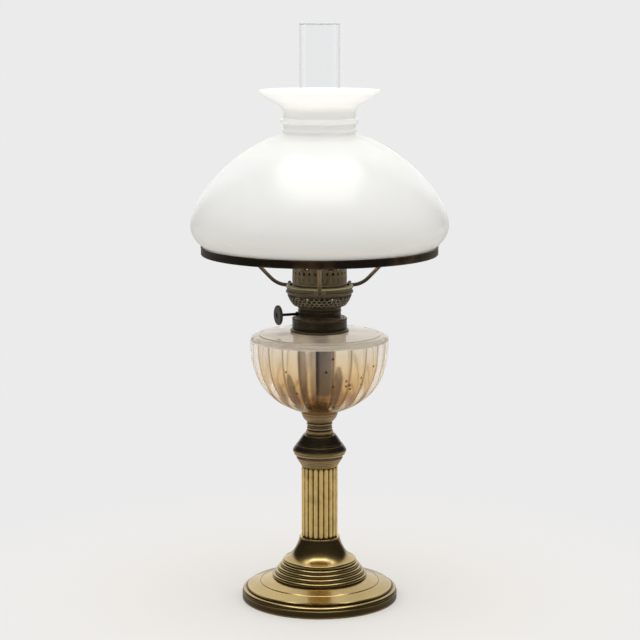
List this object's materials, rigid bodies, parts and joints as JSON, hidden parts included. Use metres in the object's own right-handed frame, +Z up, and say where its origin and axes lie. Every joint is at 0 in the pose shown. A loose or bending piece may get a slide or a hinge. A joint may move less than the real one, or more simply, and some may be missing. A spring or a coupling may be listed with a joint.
{
  "type": "kerosene table lamp",
  "caption": "Kerosene table lamp: turned brass foot and reeded column, lobed glass font, round-wick burner with a knob, glass chimney and an opal shade on a ring with bent arms.",
  "frame": {"origin": "centre of the foot's underside, on the table", "axes": "+Z up the lamp's axis; the wick shaft points along -X; the front of the picture is near -Y"},
  "size_m": [0.259, 0.259, 0.5857],
  "materials": {
    "polished_brass": "aged polish",
    "dark_brass": "brown patina",
    "steel": "plain",
    "cast_iron": "as cast",
    "plaster": "matte plaster",
    "font_glass": "pressed, stained amber by oil",
    "clear_glass": "clear",
    "opal_glass": "opal gloss",
    "cotton": "oil-soaked cotton"
  },
  "bodies": {
    "stand": {"foot": "polished_brass", "foot_weight": "cast_iron", "tie_rod": "steel", "rod_washer": "steel", "rod_nut": "steel", "foot_bell": "polished_brass", "column": "polished_brass", "capital": "polished_brass", "knop": "dark_brass", "font_cup": "dark_brass", "peg_plaster": "plaster", "font": "font_glass", "collar_plaster": "plaster", "font_collar": "dark_brass"},
    "thread_ring": {"burner_thread_ring": "dark_brass"},
    "burner": {"burner_base": "dark_brass", "air_basket": "dark_brass", "basket_rim": "dark_brass", "wick_tube": "dark_brass", "air_tube": "dark_brass", "shaft_bush": "dark_brass"},
    "wick_drive": {"wick_shaft": "steel", "wick_knob": "dark_brass", "spur_wheels": "steel"},
    "wick": {"wick": "cotton"},
    "gallery": {"gallery": "dark_brass"},
    "chimney": {"chimney": "clear_glass"},
    "shade_holder": {"holder_hoop": "polished_brass", "holder_arm_front": "dark_brass", "holder_arm_left": "dark_brass", "holder_arm_right": "dark_brass", "arm_rosettes": "dark_brass", "shade_ring": "dark_brass", "arm_rivets": "polished_brass"},
    "shade": {"shade": "opal_glass"}
  },
  "joints": [
    {"name": "burner_lift", "type": "slide", "parent": "stand", "child": "thread_ring", "axis": [0, 0, 1], "range_m": [0, 0.00825]},
    {"name": "burner_turn", "type": "hinge", "parent": "thread_ring", "child": "burner", "pos_m": [0, 0, 0.289], "axis": [0, 0, 1], "range_deg": [0, 990.5]},
    {"name": "knob_turn", "type": "hinge", "parent": "burner", "child": "wick_drive", "pos_m": [-0.02, 0.0134, 0.2946], "axis": [-1, 0, 0], "range_deg": [-150, 100]},
    {"name": "wick_rise", "type": "slide", "parent": "burner", "child": "wick", "axis": [0, 0, 1], "range_m": [-0.0094, 0.0062]},
    {"name": "gallery_lift", "type": "slide", "parent": "burner", "child": "gallery", "axis": [0, 0, 1], "range_m": [0, 0.045]},
    {"name": "chimney_lift", "type": "slide", "parent": "gallery", "child": "chimney", "axis": [0, 0, 1], "range_m": [0, 0.21]},
    {"name": "holder_lift", "type": "slide", "parent": "burner", "child": "shade_holder", "axis": [0, 0, 1], "range_m": [0, 0.275]},
    {"name": "shade_lift", "type": "slide", "parent": "shade_holder", "child": "shade", "axis": [0, 0, 1], "range_m": [0, 0.24]}
  ],
  "couplings": [
    {"joint": "burner_turn", "follows": "burner_lift", "rad_per_m": 2094.4},
    {"joint": "knob_turn", "follows": "wick_rise", "rad_per_m": 277.78}
  ]
}
